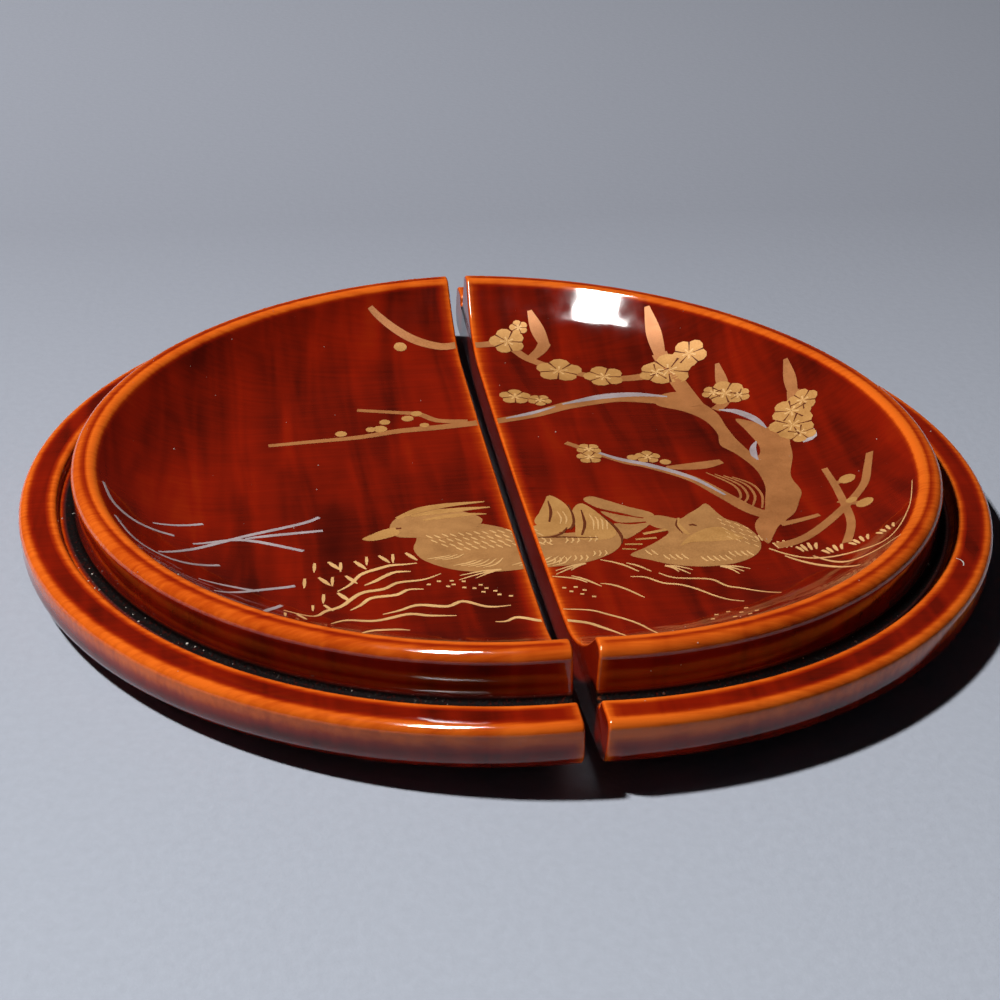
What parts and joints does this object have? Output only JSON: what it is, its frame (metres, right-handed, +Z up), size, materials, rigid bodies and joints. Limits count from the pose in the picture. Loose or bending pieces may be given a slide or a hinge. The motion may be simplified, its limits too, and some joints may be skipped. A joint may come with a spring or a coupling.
{
  "type": "split lid of a lacquer tea caddy",
  "caption": "Round turned lacquer lid cut across its middle, with a flat seat, a groove and a raised ring round a shallow painted bowl.",
  "frame": {"origin": "under the middle of the lid, on the surface that both halves rest on", "axes": "+Z up from that surface, +Y along the cut between the halves, +X across the cut to the right half"},
  "size_m": [0.107, 0.105, 0.0115],
  "materials": {
    "left_lacquer": "glossy translucent red-brown lacquer over turned wood, orange where it is thin on the edges",
    "right_lacquer": "glossy translucent red-brown lacquer over turned wood, orange where it is thin on the edges"
  },
  "bodies": {
    "root": {"left_lid_half": "left_lacquer", "right_lid_half": "right_lacquer"}
  },
  "joints": []
}
